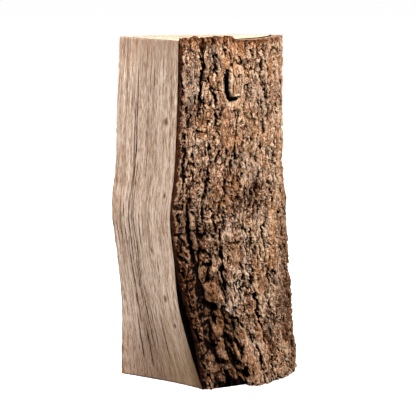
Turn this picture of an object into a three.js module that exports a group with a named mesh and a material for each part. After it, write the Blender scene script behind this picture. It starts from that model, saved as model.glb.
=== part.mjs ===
// A split log of firewood standing on its sawn end: a wedge of pale wood, bent at mid-length and
// flared at the foot, with its bark still on the round side. The bark is a separate shell that has
// come away from the wood beside the front corner, near the foot.
// Millimetres, +Z up. The origin is on the ground, under the middle of the log's box.
import * as THREE from 'three';

// ---- Driving dimensions ----------------------------------------------------------------------

const LENGTH = 300; // from saw cut to saw cut

// The cross-section has three corners. Each row is [height, x, y] along the log.
const TIP_RUN = [ // thin edge where the two split faces meet
  [0, -77.2, 54], [70, -76.8, 53], [112, -80.6, 52.5], [150, -84.6, 52],
  [190, -80.8, 51.5], [240, -78.8, 51], [LENGTH, -76.0, 50],
];
const CORNER_RUN = [ // front corner, where the show face meets the bark
  [0, -4.6, 0], [40, -16.8, -1], [75, -25.3, -2], [112, -28.8, -3],
  [150, -32.2, -4], [190, -28.2, -4.5], [240, -25.9, -5], [LENGTH, -24.4, -6],
];
const HEEL_RUN = [ // back corner, on the outside of the bark
  [0, 81.5, 82], [75, 75.0, 81], [150, 69.5, 80], [220, 66.0, 79], [LENGTH, 65.5, 78],
];

const SHOW_FACE_CURL = [8, 12]; // how far the show face curls forward at the corner: foot, top
const SHOW_FACE_CURL_POWER = 5; // higher keeps the curl closer to the corner
const BACK_FACE_CROWN = [5, 9]; // how far the hidden split face bulges: foot, top
const BACK_FACE_WAVE = 1.6;

// How far each end's handle pulls the two arcs, as shares of the way from corner to heel
const WOOD_ARC_PULL = { corner: [0.46, 0.13], heel: 0.52 };
const BARK_ARC_PULL = { corner: [0.58, 0], heel: 0.6 };

const BARK_THICKNESS = 10;
const BARK_JOINT = 0.4; // clearance between bark and wood where they are still together
const BARK_EDGE_STEP = [4.5, -4]; // from the wood's corner to the bark's outer corner
const BARK_LIFT = 4.5; // how far the loose edge stands off the wood
const BARK_SETBACK = 5; // how far the loose edge has broken back along the wood
const BARK_LIFT_REACH = 0.16; // share of the arc over which the lift dies out
const LOOSE_HEIGHT = 56; // middle of the loose stretch
const LOOSE_SPAN = 62; // half its height

const BARK_SPREAD = 140; // nominal length of the arc that the ridges are spaced on
const RIDGE_PITCH = 17; // bark ridges run up the log
const RIDGE_SHARPNESS = 1.5; // higher makes flatter furrows between narrower ridges
const FURROW_DEPTH = 2;
const BREAK_DEPTH = 0.35; // breaks across the ridges, as a share of the furrows' depth
const RIM_PROUD = 4.4; // torn bark standing above the top cut
const RIM_PROUD_END = 0.4; // share of the arc where it stops
const RIM_PROUD_FADE = 0.06; // share of the arc over which it dies out
const BROKEN_FOOT = 13; // height of the chunk missing from the bark's foot
const BROKEN_FOOT_SPAN = [0.1, 0.36]; // where it is, as shares of the arc
const FOOT_CLEARANCE = 0.6;
const END_GRIP = 8; // higher keeps the rim's and the foot's raggedness closer to the ends

const WOOD_COLOUR = 0xc4ab96;
const BARK_COLOUR = 0x7d5c43;

// Steps of the meshes. Wood and bark share the arc's and the height's, so their facets match.
const SHOW_FACE_STEPS = 12;
const ARC_STEPS = 28;
const BACK_FACE_STEPS = 9;
const HEIGHT_STEPS = 32;

// ---- The log's shape ---------------------------------------------------------------------------

function cornerAlong(stations) {
  const heights = stations.map(([height]) => height);
  const places = stations.flatMap(([, x, y]) => [x, y]);
  const spline = new THREE.CubicInterpolant(heights, places, 2, new Float64Array(2));
  return (height) => {
    const [x, y] = spline.evaluate(THREE.MathUtils.clamp(height, 0, LENGTH));
    return new THREE.Vector2(x, y);
  };
}

const tipAt = cornerAlong(TIP_RUN);
const cornerAt = cornerAlong(CORNER_RUN);
const heelAt = cornerAlong(HEEL_RUN);

function footToTop([foot, top], height) {
  return THREE.MathUtils.lerp(foot, top, THREE.MathUtils.clamp(height / LENGTH, 0, 1));
}

// 1 in the middle of a span, falling smoothly to 0 at its ends
function swell(place, middle, half) {
  return THREE.MathUtils.smoothstep(1 - Math.abs(place - middle) / half, 0, 1);
}

// The point that an arc heads for as it leaves its start
function handle(start, reach, { corner: [forward, back] }) {
  return new THREE.Vector2(start.x + forward * reach.x, start.y + back * reach.y);
}

// The wood under the bark leaves the corner at a slant and arrives at the heel running straight back.
function woodArc(height) {
  const corner = cornerAt(height);
  const heel = heelAt(height).add(new THREE.Vector2(-BARK_THICKNESS, -2));
  const reach = heel.clone().sub(corner);
  return new THREE.CubicBezierCurve(
    corner,
    handle(corner, reach, WOOD_ARC_PULL),
    new THREE.Vector2(heel.x, heel.y - WOOD_ARC_PULL.heel * reach.y),
    heel,
  );
}

function barkArc(height) {
  const start = cornerAt(height).add(new THREE.Vector2(...BARK_EDGE_STEP));
  const heel = heelAt(height);
  const reach = heel.clone().sub(start);
  return new THREE.CubicBezierCurve(
    start,
    handle(start, reach, BARK_ARC_PULL),
    new THREE.Vector2(heel.x, heel.y - BARK_ARC_PULL.heel * reach.y),
    heel,
  );
}

function showFacePoint(height, along) {
  const curl = footToTop(SHOW_FACE_CURL, height);
  const tip = tipAt(height);
  const corner = cornerAt(height);
  const straightEnd = new THREE.Vector2(corner.x, corner.y + curl);
  const point = tip.lerp(straightEnd, along);
  point.y -= curl * along ** SHOW_FACE_CURL_POWER;
  return point;
}

function backFacePoint(height, along) {
  const heel = woodArc(height).getPoint(1);
  const tip = tipAt(height);
  const outward = new THREE.Vector2(tip.y - heel.y, heel.x - tip.x).normalize();
  const wave = BACK_FACE_WAVE * Math.sin(height / 31 + 5 * along);
  const crown = 4 * along * (1 - along) * (footToTop(BACK_FACE_CROWN, height) + wave);
  return heel.lerp(tip, along).addScaledVector(outward, crown);
}

// ---- Wood --------------------------------------------------------------------------------------

// A cylinder whose wall is moved out to the wedge's outline, level by level.
function splitWood() {
  const around = SHOW_FACE_STEPS + ARC_STEPS + BACK_FACE_STEPS;
  const geometry = new THREE.CylinderGeometry(1, 1, LENGTH, around, HEIGHT_STEPS);
  geometry.rotateX(Math.PI / 2);
  geometry.translate(0, 0, LENGTH / 2);

  function outlinePoint(height, step) {
    if (step <= SHOW_FACE_STEPS) return showFacePoint(height, step / SHOW_FACE_STEPS);
    const arcStep = step - SHOW_FACE_STEPS;
    if (arcStep <= ARC_STEPS) return woodArc(height).getPoint(arcStep / ARC_STEPS);
    return backFacePoint(height, (arcStep - ARC_STEPS) / BACK_FACE_STEPS);
  }

  const place = geometry.attributes.position;
  const vertex = new THREE.Vector3();
  for (let i = 0; i < place.count; i += 1) {
    vertex.fromBufferAttribute(place, i);
    const turn = Math.atan2(vertex.x, -vertex.y) / (2 * Math.PI);
    const step = Math.round((turn + 1) * around) % around;
    const height = vertex.z;
    const middle = tipAt(height).add(cornerAt(height)).add(heelAt(height)).divideScalar(3);
    const spread = Math.min(1, Math.hypot(vertex.x, vertex.y));
    const point = spread < 0.5 ? middle : outlinePoint(height, step);
    place.setXY(i, point.x, point.y);
  }
  geometry.computeVertexNormals();

  const material = new THREE.MeshStandardMaterial({ color: WOOD_COLOUR, roughness: 0.8, metalness: 0 });
  const wood = new THREE.Mesh(geometry, material);
  wood.name = 'split_wood';
  return wood;
}

// ---- Bark --------------------------------------------------------------------------------------

function looseness(height) {
  return swell(height, LOOSE_HEIGHT, LOOSE_SPAN);
}

// Depth of the furrows between the ridges, at an arc share and a height
function furrow(share, height) {
  const drift = 0.4 * Math.sin(height / 43) + 0.25 * Math.sin(height / 19 + 7 * share);
  const ridge = Math.abs(Math.sin(Math.PI * ((share * BARK_SPREAD) / RIDGE_PITCH + drift)));
  const breaks = 0.5 + 0.5 * Math.sin(height / 13 + 23 * share);
  return FURROW_DEPTH * ((1 - ridge) ** RIDGE_SHARPNESS + BREAK_DEPTH * breaks);
}

function rimHeight(share) {
  const fade = 1 - THREE.MathUtils.smoothstep(share, RIM_PROUD_END - RIM_PROUD_FADE, RIM_PROUD_END);
  const torn = 0.75 + 0.25 * Math.sin(61 * share) * Math.sin(23 * share + 1);
  return RIM_PROUD * fade * torn - BARK_JOINT;
}

function footHeight(share) {
  const middle = (BROKEN_FOOT_SPAN[0] + BROKEN_FOOT_SPAN[1]) / 2;
  const half = (BROKEN_FOOT_SPAN[1] - BROKEN_FOOT_SPAN[0]) / 2;
  const ragged = 0.5 + 0.5 * Math.sin(47 * share) * Math.sin(19 * share + 2);
  return FOOT_CLEARANCE + ragged + BROKEN_FOOT * Math.sqrt(swell(share, middle, half));
}

// A box bent round the wood: x runs along the arc, y across the thickness and z up.
function bark() {
  const geometry = new THREE.BoxGeometry(1, 1, 1, ARC_STEPS, 1, HEIGHT_STEPS);
  geometry.translate(0.5, 0.5, 0.5);

  const place = geometry.attributes.position;
  const vertex = new THREE.Vector3();
  for (let i = 0; i < place.count; i += 1) {
    vertex.fromBufferAttribute(place, i);
    const rise = vertex.z;
    const height = LENGTH * rise
      + footHeight(vertex.x) * (1 - rise) ** END_GRIP
      + rimHeight(vertex.x) * rise ** END_GRIP;

    const loose = looseness(height);
    const wood = woodArc(height);
    const setback = (BARK_SETBACK * loose) / wood.getLength();
    const share = setback + (1 - setback) * vertex.x;

    const inside = wood.getPoint(share);
    const tangent = wood.getTangent(share);
    const outward = new THREE.Vector2(tangent.y, -tangent.x);
    const stand = BARK_LIFT * loose * (1 - THREE.MathUtils.smoothstep(share, 0, BARK_LIFT_REACH));
    inside.addScaledVector(outward, BARK_JOINT + stand);

    const outside = barkArc(height).getPoint(share);
    outside.addScaledVector(outward, 0.6 * stand - furrow(share, height));

    const point = outside.lerp(inside, vertex.y);
    place.setXYZ(i, point.x, point.y, height);
  }
  geometry.computeVertexNormals();

  const material = new THREE.MeshStandardMaterial({ color: BARK_COLOUR, roughness: 0.95, metalness: 0 });
  const shell = new THREE.Mesh(geometry, material);
  shell.name = 'bark';
  return shell;
}

// ---- Assembly ----------------------------------------------------------------------------------

const log = new THREE.Group();
log.add(splitWood(), bark());

const box = new THREE.Box3().setFromObject(log);
const middle = box.getCenter(new THREE.Vector3());
log.position.set(-middle.x, -middle.y, -box.min.z);

export default log;
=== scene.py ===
import math

import bpy
import numpy as np
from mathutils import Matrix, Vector
from mathutils.bvhtree import BVHTree


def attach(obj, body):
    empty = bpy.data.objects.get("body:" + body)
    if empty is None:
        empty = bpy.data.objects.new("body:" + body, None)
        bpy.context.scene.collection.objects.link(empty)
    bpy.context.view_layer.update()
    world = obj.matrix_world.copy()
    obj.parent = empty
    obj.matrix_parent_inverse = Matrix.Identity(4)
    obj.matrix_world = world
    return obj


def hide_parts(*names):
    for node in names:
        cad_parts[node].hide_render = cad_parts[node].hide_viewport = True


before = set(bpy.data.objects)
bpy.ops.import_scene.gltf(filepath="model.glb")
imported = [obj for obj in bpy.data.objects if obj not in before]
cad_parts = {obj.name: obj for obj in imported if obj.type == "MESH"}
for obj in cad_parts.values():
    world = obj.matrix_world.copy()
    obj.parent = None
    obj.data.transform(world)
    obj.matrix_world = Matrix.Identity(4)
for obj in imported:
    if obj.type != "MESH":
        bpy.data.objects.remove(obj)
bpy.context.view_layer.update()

MM = 0.001
BODY = "root"

# ---- Wood, in millimetres ------------------------------------------------------------------------

SHOW_STEPS = 12  # the CAD wood's steps round each level, from the thin edge to the front corner
ARC_STEPS = 28  # and from there under the bark to the heel
HUB_REACH = 15  # the CAD wood's points nearer than this to a level's middle are not on its wall
SAME_POINT = 0.05  # and two points nearer to each other than this are one

WOOD_ROWS = 150
SHOW_COLUMNS = 230
ARC_COLUMNS = 40
BACK_COLUMNS = 200
CUT_RINGS = 24  # rings of faces from the rim of a sawn end to its middle
CUT_SPACING = 0.9  # below 1 the rings are closer together towards the rim
SIDE_EDGE = 0.012  # share of a side's width over which its relief dies out at each edge

FACE_WIDTH = 75  # nominal width that the show face's grain is drawn on
BACK_WIDTH = 165  # and the back face's
ARC_WIDTH = 110  # and that of the wood under the bark
ARC_GRAIN, BACK_GRAIN = 200, 400  # where those two sides' grain starts, well clear of the side before
SHOW_ROUGH, BACK_ROUGH = 0.6, 1.9  # the hidden face split less cleanly
FAN_HEIGHT = 115  # below this the grain of the show face fans out
FAN = 0.4  # and this strongly
TIP_WEAR = 0.5  # how far the thin edge wanders in and out
FRAY_COLUMNS = 18  # of the show face, at its foot by the thin edge
FRAY_HEIGHT = 11  # and about this high
HEART_SHARE = 0.45  # the tree's heart lay this far along from the thin edge to the heel
PITH_BEHIND = 7  # and this far behind the back face

# Drying cracks of the show face: [share of the width, top, bottom, width, depth]
SHOW_CRACKS = [
    [0.345, 288, 60, 0.8, 2.0], [0.375, 205, 12, 0.7, 1.5], [0.29, 176, 84, 0.8, 1.7],
    [0.215, 172, 96, 0.75, 1.5], [0.25, 140, 40, 0.7, 1.3], [0.44, 96, 22, 0.6, 1.2],
    [0.14, 164, 92, 0.65, 1.2], [0.32, 262, 150, 0.6, 1.0], [0.62, 292, 228, 0.6, 1.0],
    [0.52, 271, 176, 0.5, 0.9], [0.82, 170, 92, 0.6, 1.0], [0.71, 132, 70, 0.6, 1.0],
    [0.58, 74, 8, 0.8, 1.4], [0.31, 60, 0, 0.9, 1.6], [0.17, 282, 214, 0.6, 0.9],
    [0.08, 156, 108, 0.8, 1.4], [0.9, 270, 180, 0.5, 0.9], [0.46, 168, 110, 0.5, 0.9],
    [0.68, 240, 170, 0.5, 0.8], [0.2, 70, 4, 0.8, 1.4],
]
# and of the back face
BACK_CRACKS = [
    [0.3, 286, 120, 0.9, 2.6], [0.52, 240, 60, 0.7, 2.0], [0.68, 160, 16, 0.8, 2.2],
    [0.14, 200, 90, 0.6, 1.4], [0.82, 290, 190, 0.6, 1.4], [0.42, 110, 0, 0.9, 1.8],
    [0.22, 80, 10, 0.8, 1.4], [0.6, 300, 250, 0.8, 1.5],
]
CRACK_TAPER = 25  # height over which a crack closes at each end

# Pin knots of the show face: [share of the width, height, half width, half height]
KNOTS = [
    [0.82, 231, 3.4, 4.6], [0.76, 77, 3.0, 4.4], [0.83, 54, 2.4, 2.8], [0.88, 168, 2.0, 3.4],
    [0.63, 118, 1.8, 3.0],
]
KNOT_DEPTH = 0.7  # how far a knot is sunk

# Checks in the sawn ends: [bearing from the tree's heart in radians, inner end, outer end], the ends as
# shares of the way to the bark
CHECKS = [[-1.35, 0.1, 0.8], [-0.85, 0.35, 1.0], [-2.1, 0.5, 0.97]]
CHECK_DEPTH = 1.4
CHECK_SCALE = 80  # nominal distance from the heart to the bark that the checks' widths are drawn on

# ---- Bark, in millimetres ------------------------------------------------------------------------

BARK_COLUMNS = 190
BARK_ROWS = 400
BARK_LAYERS = 6
INNER_STEP = 10  # steps of the bark's mesh to one face where it lies against the wood
CELL = 0.72  # about as far as one point of its mesh is from the next
JOINT = 0.4  # clearance between bark and wood where they hold together
RAY_START = 40  # the bark's outside is felt for from this far out
THINNEST, THICKEST = 5, 16  # what is felt is kept between these
THIN_FROM, THIN_LEAST = 4, 1.2  # furrows get shallower where less than the first of these is left
LOOSE_MIDDLE, LOOSE_HALF = 56, 62  # middle and half height of where the front edge has come away
LIFT = 4.5  # how far it stands off the wood there
LIFT_OUTSIDE = 0.7  # how much of the lift shows on the outside
LIFT_REACH = 20  # how far in from the edge the lift goes
SETBACK = 4.5  # and how far it has broken back
RAGGED_EDGE = 1.3  # and how far it wanders besides, all the way up
INNER_BARK = 1.3  # width of smooth inner bark laid bare along the front edge
RIM_PROUD = 4.2  # torn bark above the upper cut
RIM_END = 0.38  # share of the arc where it stops
TORN_DEPTH = 7  # how far down from the rim the bark looks torn
FOOT_CLEARANCE = 0.6  # the bark's foot stays this far off the ground
FOOT_CHUNK = 13  # height of the missing chunk
FOOT_CHUNK_SPAN = (0.1, 0.34)  # and its two ends, as shares of the arc
PLATE_OVERHANG = 0.28  # how far proud bark hangs down, as a share of its height

# Long furrows that wander, coarse to fine: [seed, spacing, length, half width, depth]
FURROW_RUNS = [[105, 14, 90, 1.6, 4.6], [106, 8, 46, 1.0, 2.8], [107, 5, 24, 0.8, 1.5]]
# Scales on scales: [seed, width, height, rise, lean]
SCALES = [
    [110, 10, 34, 2.2, 1.2], [120, 4.6, 13, 1.1, 0.9],
    [130, 2.4, 5.2, 0.8, 0.8], [135, 1.5, 2.8, 0.6, 0.5],
]
# Layers worn back in ragged steps: [seed, width, height, step]
LAYERS = [[140, 11, 34, 1.2], [150, 5, 15, 0.9]]
# Coarse broken blocks low down by the front edge
BLOCK_WIDTH, BLOCK_HEIGHT = 9.5, 15
BLOCK_GAP_DEPTH = 5.0
CRUMB = 0.34  # loose grains that stand out from everything
CRUMB_SIZE = 0.8  # and how wide they are
SURFACE_DROP = 2.2  # the relief is lowered by this, and what still stands proud is pressed flatter
PROUD = 1.2  # height over which it is pressed

# Big loose plate near the top: [distance from the front edge, height, half width, half height, rise]
BIG_PLATE = [45.5, 267, 6.2, 13.5, 4.6]
PLATE_SHADE = 3.0  # depth of the hollow beside it
# Furrows: [distance from the front edge, top, bottom, half width, depth]
FURROWS = [
    [17, 288, 246, 1.8, 6.0], [30, 262, 222, 0.9, 3.5], [14, 166, 104, 2.2, 8.0],
    [18, 118, 24, 3.0, 9.0], [27, 190, 138, 1.1, 4.0], [38, 132, 76, 1.3, 4.5], [29, 66, 12, 3.2, 7.5],
    [46, 118, 60, 1.0, 4.0], [48, 240, 196, 0.8, 3.0], [60, 176, 104, 1.0, 4.0],
    [73, 292, 236, 0.9, 3.6], [70, 222, 150, 0.9, 3.2], [80, 150, 62, 1.1, 4.2],
    [66, 88, 18, 1.2, 4.4], [92, 270, 180, 1.0, 4.0], [96, 160, 70, 1.1, 4.2],
    [106, 230, 120, 1.2, 4.5], [104, 96, 16, 1.1, 4.2], [116, 280, 190, 1.2, 4.5],
    [55, 48, 8, 1.3, 4.5], [40, 292, 270, 0.9, 3.4], [8, 262, 236, 0.9, 2.6], [7, 210, 168, 1.0, 3.0],
    [86, 40, 6, 1.0, 3.8],
]
FURROW_TAPER = 12  # height over which a furrow closes at each end
# Hollows left by fallen plates: [distance from the front edge, height, half width, half height, depth]
HOLLOWS = [
    [7, 160, 4.5, 3.5, 4.0], [22, 68, 5.5, 14, 5.0], [31, 34, 5, 17, 6.0], [12, 94, 5, 9, 4.0],
    [5, 128, 3.5, 9, 3.0], [36, 104, 4, 8, 3.0], [9, 95, 9, 2.0, 5.0], [15, 64, 11, 2.4, 5.5],
    [7, 136, 7, 1.8, 4.0], [26, 110, 6, 1.6, 3.5], [20, 24, 9, 2.0, 4.5], [40, 62, 7, 1.8, 3.5],
    [11, 186, 7, 1.6, 3.0], [30, 150, 6, 1.6, 3.0], [52, 128, 6, 1.5, 2.5], [24, 212, 3.5, 5, 2.2],
    [64, 214, 3, 4, 2.2], [10, 36, 4, 14, 3.5], [52, 90, 3.5, 7, 2.6], [70, 120, 3, 5, 2.4],
    [9, 232, 3, 6, 2.0], [38, 14, 8, 6, 4.0],
]
# Big lifted flakes: [distance from the front edge, height, half width, half height, rise]
FLAKES = [
    [20, 232, 5, 7, 1.8], [28, 86, 6, 9, 2.6], [44, 46, 6, 9, 2.6], [14, 190, 5, 6, 1.8],
    [62, 150, 5, 9, 1.6], [36, 172, 5, 8, 1.6], [76, 196, 5, 10, 1.6], [58, 72, 5, 8, 2.0],
    [10, 62, 4, 7, 2.2], [33, 284, 5, 8, 1.8], [66, 262, 5, 9, 1.6], [86, 110, 5, 10, 1.6],
    [100, 210, 5, 12, 1.6], [70, 32, 6, 8, 2.2],
]

# Dark patches, partly damp and partly painted shade: [distance from the front edge, height, half width,
# half height, strength]
DAMP_AND_SHADE = [
    [0, 70, 26, 100, 1.0], [24, 60, 22, 60, 0.82], [4, 192, 12, 34, 0.45], [16, 176, 50, 36, 0.42],
    [26, 16, 24, 20, 0.9], [8, 120, 26, 60, 0.7], [60, 40, 40, 40, 0.25], [34, 92, 10, 22, 0.6],
    [8, 240, 15, 18, 0.5], [66, 172, 11, 12, 0.9], [72, 44, 11, 12, 1.0], [82, 160, 11, 12, 0.6],
    [114, 100, 22, 120, 0.45], [30, 182, 40, 24, 0.35], [12, 20, 14, 30, 0.8], [76, 90, 9, 20, 0.4],
    [106, 262, 16, 30, 0.3], [9, 160, 12, 12, 0.9], [26, 131, 11, 12, 0.9], [54, 116, 9, 9, 0.6],
    [108, 55, 28, 60, 0.85], [84, 243, 8, 10, 0.7], [18, 272, 7, 10, 0.35], [86, 290, 9, 9, 0.5],
    [68, 111, 7, 8, 0.6], [34, 192, 10, 8, 0.6], [70, 158, 16, 8, 0.6], [4, 270, 6, 14, 0.4],
    [8, 172, 16, 20, 0.45], [70, 204, 6, 6, 0.4], [44, 122, 12, 12, 0.55], [44, 165, 6, 22, 0.45],
]
# Pale weathered patches, in the same terms
PALE = [
    [9, 262, 8, 22, 0.6], [56, 251, 18, 12, 1.0], [76, 236, 5, 12, 0.7], [98, 264, 10, 16, 0.6],
    [48, 146, 7, 20, 0.6], [42, 76, 10, 12, 1.0], [53, 36, 9, 16, 1.0], [50, 96, 6, 22, 0.8],
    [62, 190, 15, 22, 0.5], [58, 116, 7, 28, 0.6], [74, 60, 6, 22, 0.5], [12, 210, 8, 8, 0.6],
]
# Worn smooth warm patches, in the same terms
WORN = [
    [65, 224, 11, 34, 1.0], [55, 249, 20, 13, 1.3], [86, 226, 7, 20, 0.5], [72, 120, 7, 20, 0.6],
    [40, 118, 6, 14, 0.4], [84, 22, 9, 14, 0.5],
]

# Small loose flakes: [how many, width, height, thickness]
FLAKE_SIZES = [[800, 3.2, 6.0, 0.5], [170, 5.0, 11, 0.7], [900, 2.0, 3.4, 0.45]]
FLAKE_CORNERS = 9
FLAKE_TRIES = 20  # places tried for each small flake
FLAKE_MARGIN = 6  # steps of the mesh that they keep from its foot, rim and front edge

BARK_MARKS = (
    "furrow", "tone", "cavity", "layer", "inner_bark", "damp", "pale", "worn", "sawn", "torn", "hollow",
)

# ---- Stage, lights and camera, in metres ---------------------------------------------------------

STAGE_SIDES = 96
STAGE_PROFILE = [(9, 0), (10, 0.1), (11, 0.5), (11.6, 1.4), (12, 3), (12, 7)]  # [distance out, height]
STAGE_GLOW = 0.97
# Softboxes: [name, place, size, power]
SOFTBOXES = [
    ["key", (0.72, -0.86, 0.98), 0.22, 49], ["fill", (-1.4, -0.52, 0.72), 0.4, 31],
    ["back", (0.15, 1.3, 0.75), 0.5, 26],
]
LIGHTS_AIM = (0, 0, 0.2)
STUDIO_GLOW = 0.03
LENS = 147.1  # millimetres
SENSOR = 36
CAMERA_SIDE, CAMERA_BACK, CAMERA_HEIGHT = 4.6, 1417, 397.9  # millimetres from the front corner's foot
CAMERA_DIP = 9.583  # degrees that it looks down by


# ---- Noise ---------------------------------------------------------------------------------------

def ease(low, high, x):
    """0 below low, 1 above high, smooth between."""
    share = np.clip((x - low) / (high - low), 0, 1)
    return share * share * (3 - 2 * share)


def scatter(column, row, seed):
    """A fixed random number from 0 to 1 for each point of a lattice."""
    mixed = column.astype(np.int64) * 73856093 ^ row.astype(np.int64) * 19349663 ^ seed * 83492791
    mixed = ((mixed ^ (mixed >> 13)) * 1274126177) & 0x7FFFFFFF
    mixed = ((mixed ^ (mixed >> 15)) * 668265263) & 0x7FFFFFFF
    return ((mixed ^ (mixed >> 16)) & 0xFFFF) / 65535


def swell(x, y, seed):
    """Smooth noise from about -1 to 1, one swell to a unit."""
    column, row = np.floor(x), np.floor(y)
    across, up = x - column, y - row
    blend_across = across**3 * (across * (6 * across - 15) + 10)
    blend_up = up**3 * (up * (6 * up - 15) + 10)
    total = np.zeros(np.broadcast(x, y).shape)
    for right in (0, 1):
        for above in (0, 1):
            angle = 2 * math.pi * scatter(column + right, row + above, seed)
            slope = np.cos(angle) * (across - right) + np.sin(angle) * (up - above)
            weight = blend_across if right else 1 - blend_across
            total += slope * weight * (blend_up if above else 1 - blend_up)
    return 1.5 * total


def weather(x, y, seed, octaves=4, fade=0.5):
    """Swells on swells, each octave half the size of the last."""
    total = 0
    for octave in range(octaves):
        total = total + fade**octave * swell(x * 2**octave, y * 2**octave, seed + 17 * octave)
    return total


def plates(x, y, seed):
    """Irregular plates, one to a unit: how far inside its plate a point is, its offset from the plate's
    middle across and up, and two fixed numbers of the plate."""
    column, row = np.floor(x), np.floor(y)
    gaps, kept = [], []
    for right in (-1, 0, 1):
        for above in (-1, 0, 1):
            at_column, at_row = column + right, row + above
            off_x = x - at_column - 0.5 - 0.9 * (scatter(at_column, at_row, seed) - 0.5)
            off_y = y - at_row - 0.5 - 0.9 * (scatter(at_column, at_row, seed + 1) - 0.5)
            gaps.append((off_x**4 + off_y**4) ** 0.25)
            first = scatter(at_column, at_row, seed + 2)
            second = scatter(at_column, at_row, seed + 3)
            kept.append(np.stack([off_x, off_y, first, second]))
    gaps, kept = np.stack(gaps), np.stack(kept)
    nearest = np.argmin(gaps, 0)
    two = np.partition(gaps, 1, 0)[:2]
    return [two[1] - two[0], *np.take_along_axis(kept, nearest[None, None], 0)[0]]


def terrace(height, steps, sharpness=6):
    """A smooth height worn into flat treads and steep risers."""
    scaled = height * steps
    tread = np.floor(scaled)
    return (tread + ease(0, 1, np.clip((scaled - tread) * sharpness, 0, 1))) / steps


def blurred(field, reach):
    """The field averaged over about reach grid steps each way."""
    for axis in (0, 0, 1, 1):
        first, last = (np.repeat(field.take([end], axis), reach, axis) for end in (0, -1))
        total = np.cumsum(np.concatenate([first, field, last], axis), axis)
        total = np.concatenate([np.zeros_like(total.take([0], axis)), total], axis)
        ahead = total.take(range(2 * reach + 1, total.shape[axis]), axis)
        behind = total.take(range(0, total.shape[axis] - 2 * reach - 1), axis)
        field = (ahead - behind) / (2 * reach + 1)
    return field


# ---- Shape of the log, read from the frame --------------------------------------------------------

def resample(points, count):
    """A smooth run of count points through evenly spaced ones, along the first axis."""
    place = np.linspace(0, len(points) - 1, count)
    index = np.minimum(place.astype(int), len(points) - 2)
    share = (place - index).reshape((-1,) + (1,) * (points.ndim - 1))
    before, start = points[np.maximum(index - 1, 0)], points[index]
    end, after = points[index + 1], points[np.minimum(index + 2, len(points) - 1)]
    leave, arrive = (end - before) / 2, (after - start) / 2
    rise = end - start
    bend = 3 * rise - 2 * leave - arrive
    twist = leave + arrive - 2 * rise
    return start + share * (leave + share * (bend + share * twist))


def wood_sides():
    """The CAD wood's level rings, split at their three corners into show face, arc and back face."""
    vertices = np.array([vertex.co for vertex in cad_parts["split_wood"].data.vertices]) / MM
    levels = np.unique(np.round(vertices[:, 2], 1))
    sides = {"show": [], "arc": [], "back": []}
    for level in levels:
        ring = vertices[np.abs(vertices[:, 2] - level) < 0.1][:, :2]
        middle = ring.mean(0)
        ring = ring[np.hypot(*(ring - middle).T) > HUB_REACH]
        ring = ring[np.argsort(np.arctan2(ring[:, 1] - middle[1], ring[:, 0] - middle[0]))]
        ring = ring[np.hypot(*(ring - np.roll(ring, 1, 0)).T) > SAME_POINT]
        ring = np.roll(ring, -np.argmin(ring[:, 0]), 0)
        corner, heel = SHOW_STEPS, SHOW_STEPS + ARC_STEPS
        sides["show"].append(ring[: corner + 1])
        sides["arc"].append(ring[corner : heel + 1])
        sides["back"].append(np.concatenate([ring[heel:], ring[:1]]))
    return levels, {name: np.array(rings) for name, rings in sides.items()}


def side_grid(rings, columns, rows):
    """The side as a grid of points, one row to a height, and the outward direction at each."""
    grid = resample(rings, rows).swapaxes(0, 1)
    grid = resample(grid, columns + 1).swapaxes(0, 1)
    onward = np.gradient(grid, axis=1)
    outward = np.stack([onward[..., 1], -onward[..., 0]], -1)
    return grid, outward / np.linalg.norm(outward, axis=-1, keepdims=True)


levels, sides = wood_sides()
LENGTH = levels[-1]
front_foot = sides["arc"][0, 0]


# ---- Meshes --------------------------------------------------------------------------------------

def add_object(name, data):
    """Puts an object in the scene."""
    added = bpy.data.objects.new(name, data)
    bpy.context.scene.collection.objects.link(added)
    return added


def build_piece(name, points, faces, marks, finish, smooth=False):
    """A piece of the log, from points in millimetres, with marks on them for the finish to read."""
    mesh = bpy.data.meshes.new(name)
    mesh.from_pydata((points * MM).tolist(), [], faces)
    for mark, values in marks.items():
        layer = mesh.attributes.new(mark, "FLOAT", "POINT")
        layer.data.foreach_set("value", np.array(values, np.float32).ravel())
    if smooth:
        mesh.shade_smooth()
    mesh.materials.append(finish)
    piece = add_object(name, mesh)
    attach(piece, BODY)
    return piece


def quads(numbers):
    """Faces between the neighbours of a grid of point numbers."""
    corners = [numbers[:-1, :-1], numbers[:-1, 1:], numbers[1:, 1:], numbers[1:, :-1]]
    return np.stack(corners, -1).reshape(-1, 4)


def large_faces(numbers, step):
    """Large faces over a grid of point numbers, which still use every point of its border."""
    rows, columns = numbers.shape
    row_cuts = [*range(0, rows - 1, step), rows - 1]
    column_cuts = [*range(0, columns - 1, step), columns - 1]
    faces = []
    for low, high in zip(row_cuts, row_cuts[1:]):
        for left, right in zip(column_cuts, column_cuts[1:]):
            bottom = numbers[low, left : right + 1 : 1 if low == 0 else right - left]
            top = numbers[high, left : right + 1 : 1 if high == rows - 1 else right - left]
            start = numbers[low : high + 1 : 1 if left == 0 else high - low, left]
            end = numbers[low : high + 1 : 1 if right == columns - 1 else high - low, right]
            faces.append([*bottom, *end[1:], *top[-2::-1], *start[-2:0:-1]])
    return faces


# ---- Wood ----------------------------------------------------------------------------------------

def cracks_depth(share, height, width, cracks, seed):
    """How deep the drying cracks are at each point of a split face."""
    depth = np.zeros(share.shape)
    flat = 0 * height
    for number, (place, top, bottom, opening, deepest) in enumerate(cracks):
        wander = 0.012 * swell(height / 34, flat, seed + number) + 0.004 * swell(height / 7, flat, seed)
        gap = np.abs(share - place - wander) * width
        along = ease(0, CRACK_TAPER, top - height) * ease(0, CRACK_TAPER, height - bottom)
        opening = opening * (0.35 + 0.65 * along)
        opening = opening * (0.8 + 0.4 * swell(height / 11, flat + number, seed + 3))
        depth = np.maximum(depth, deepest * along * (1 - ease(0.2 * opening, opening, gap)))
    return depth


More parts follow.
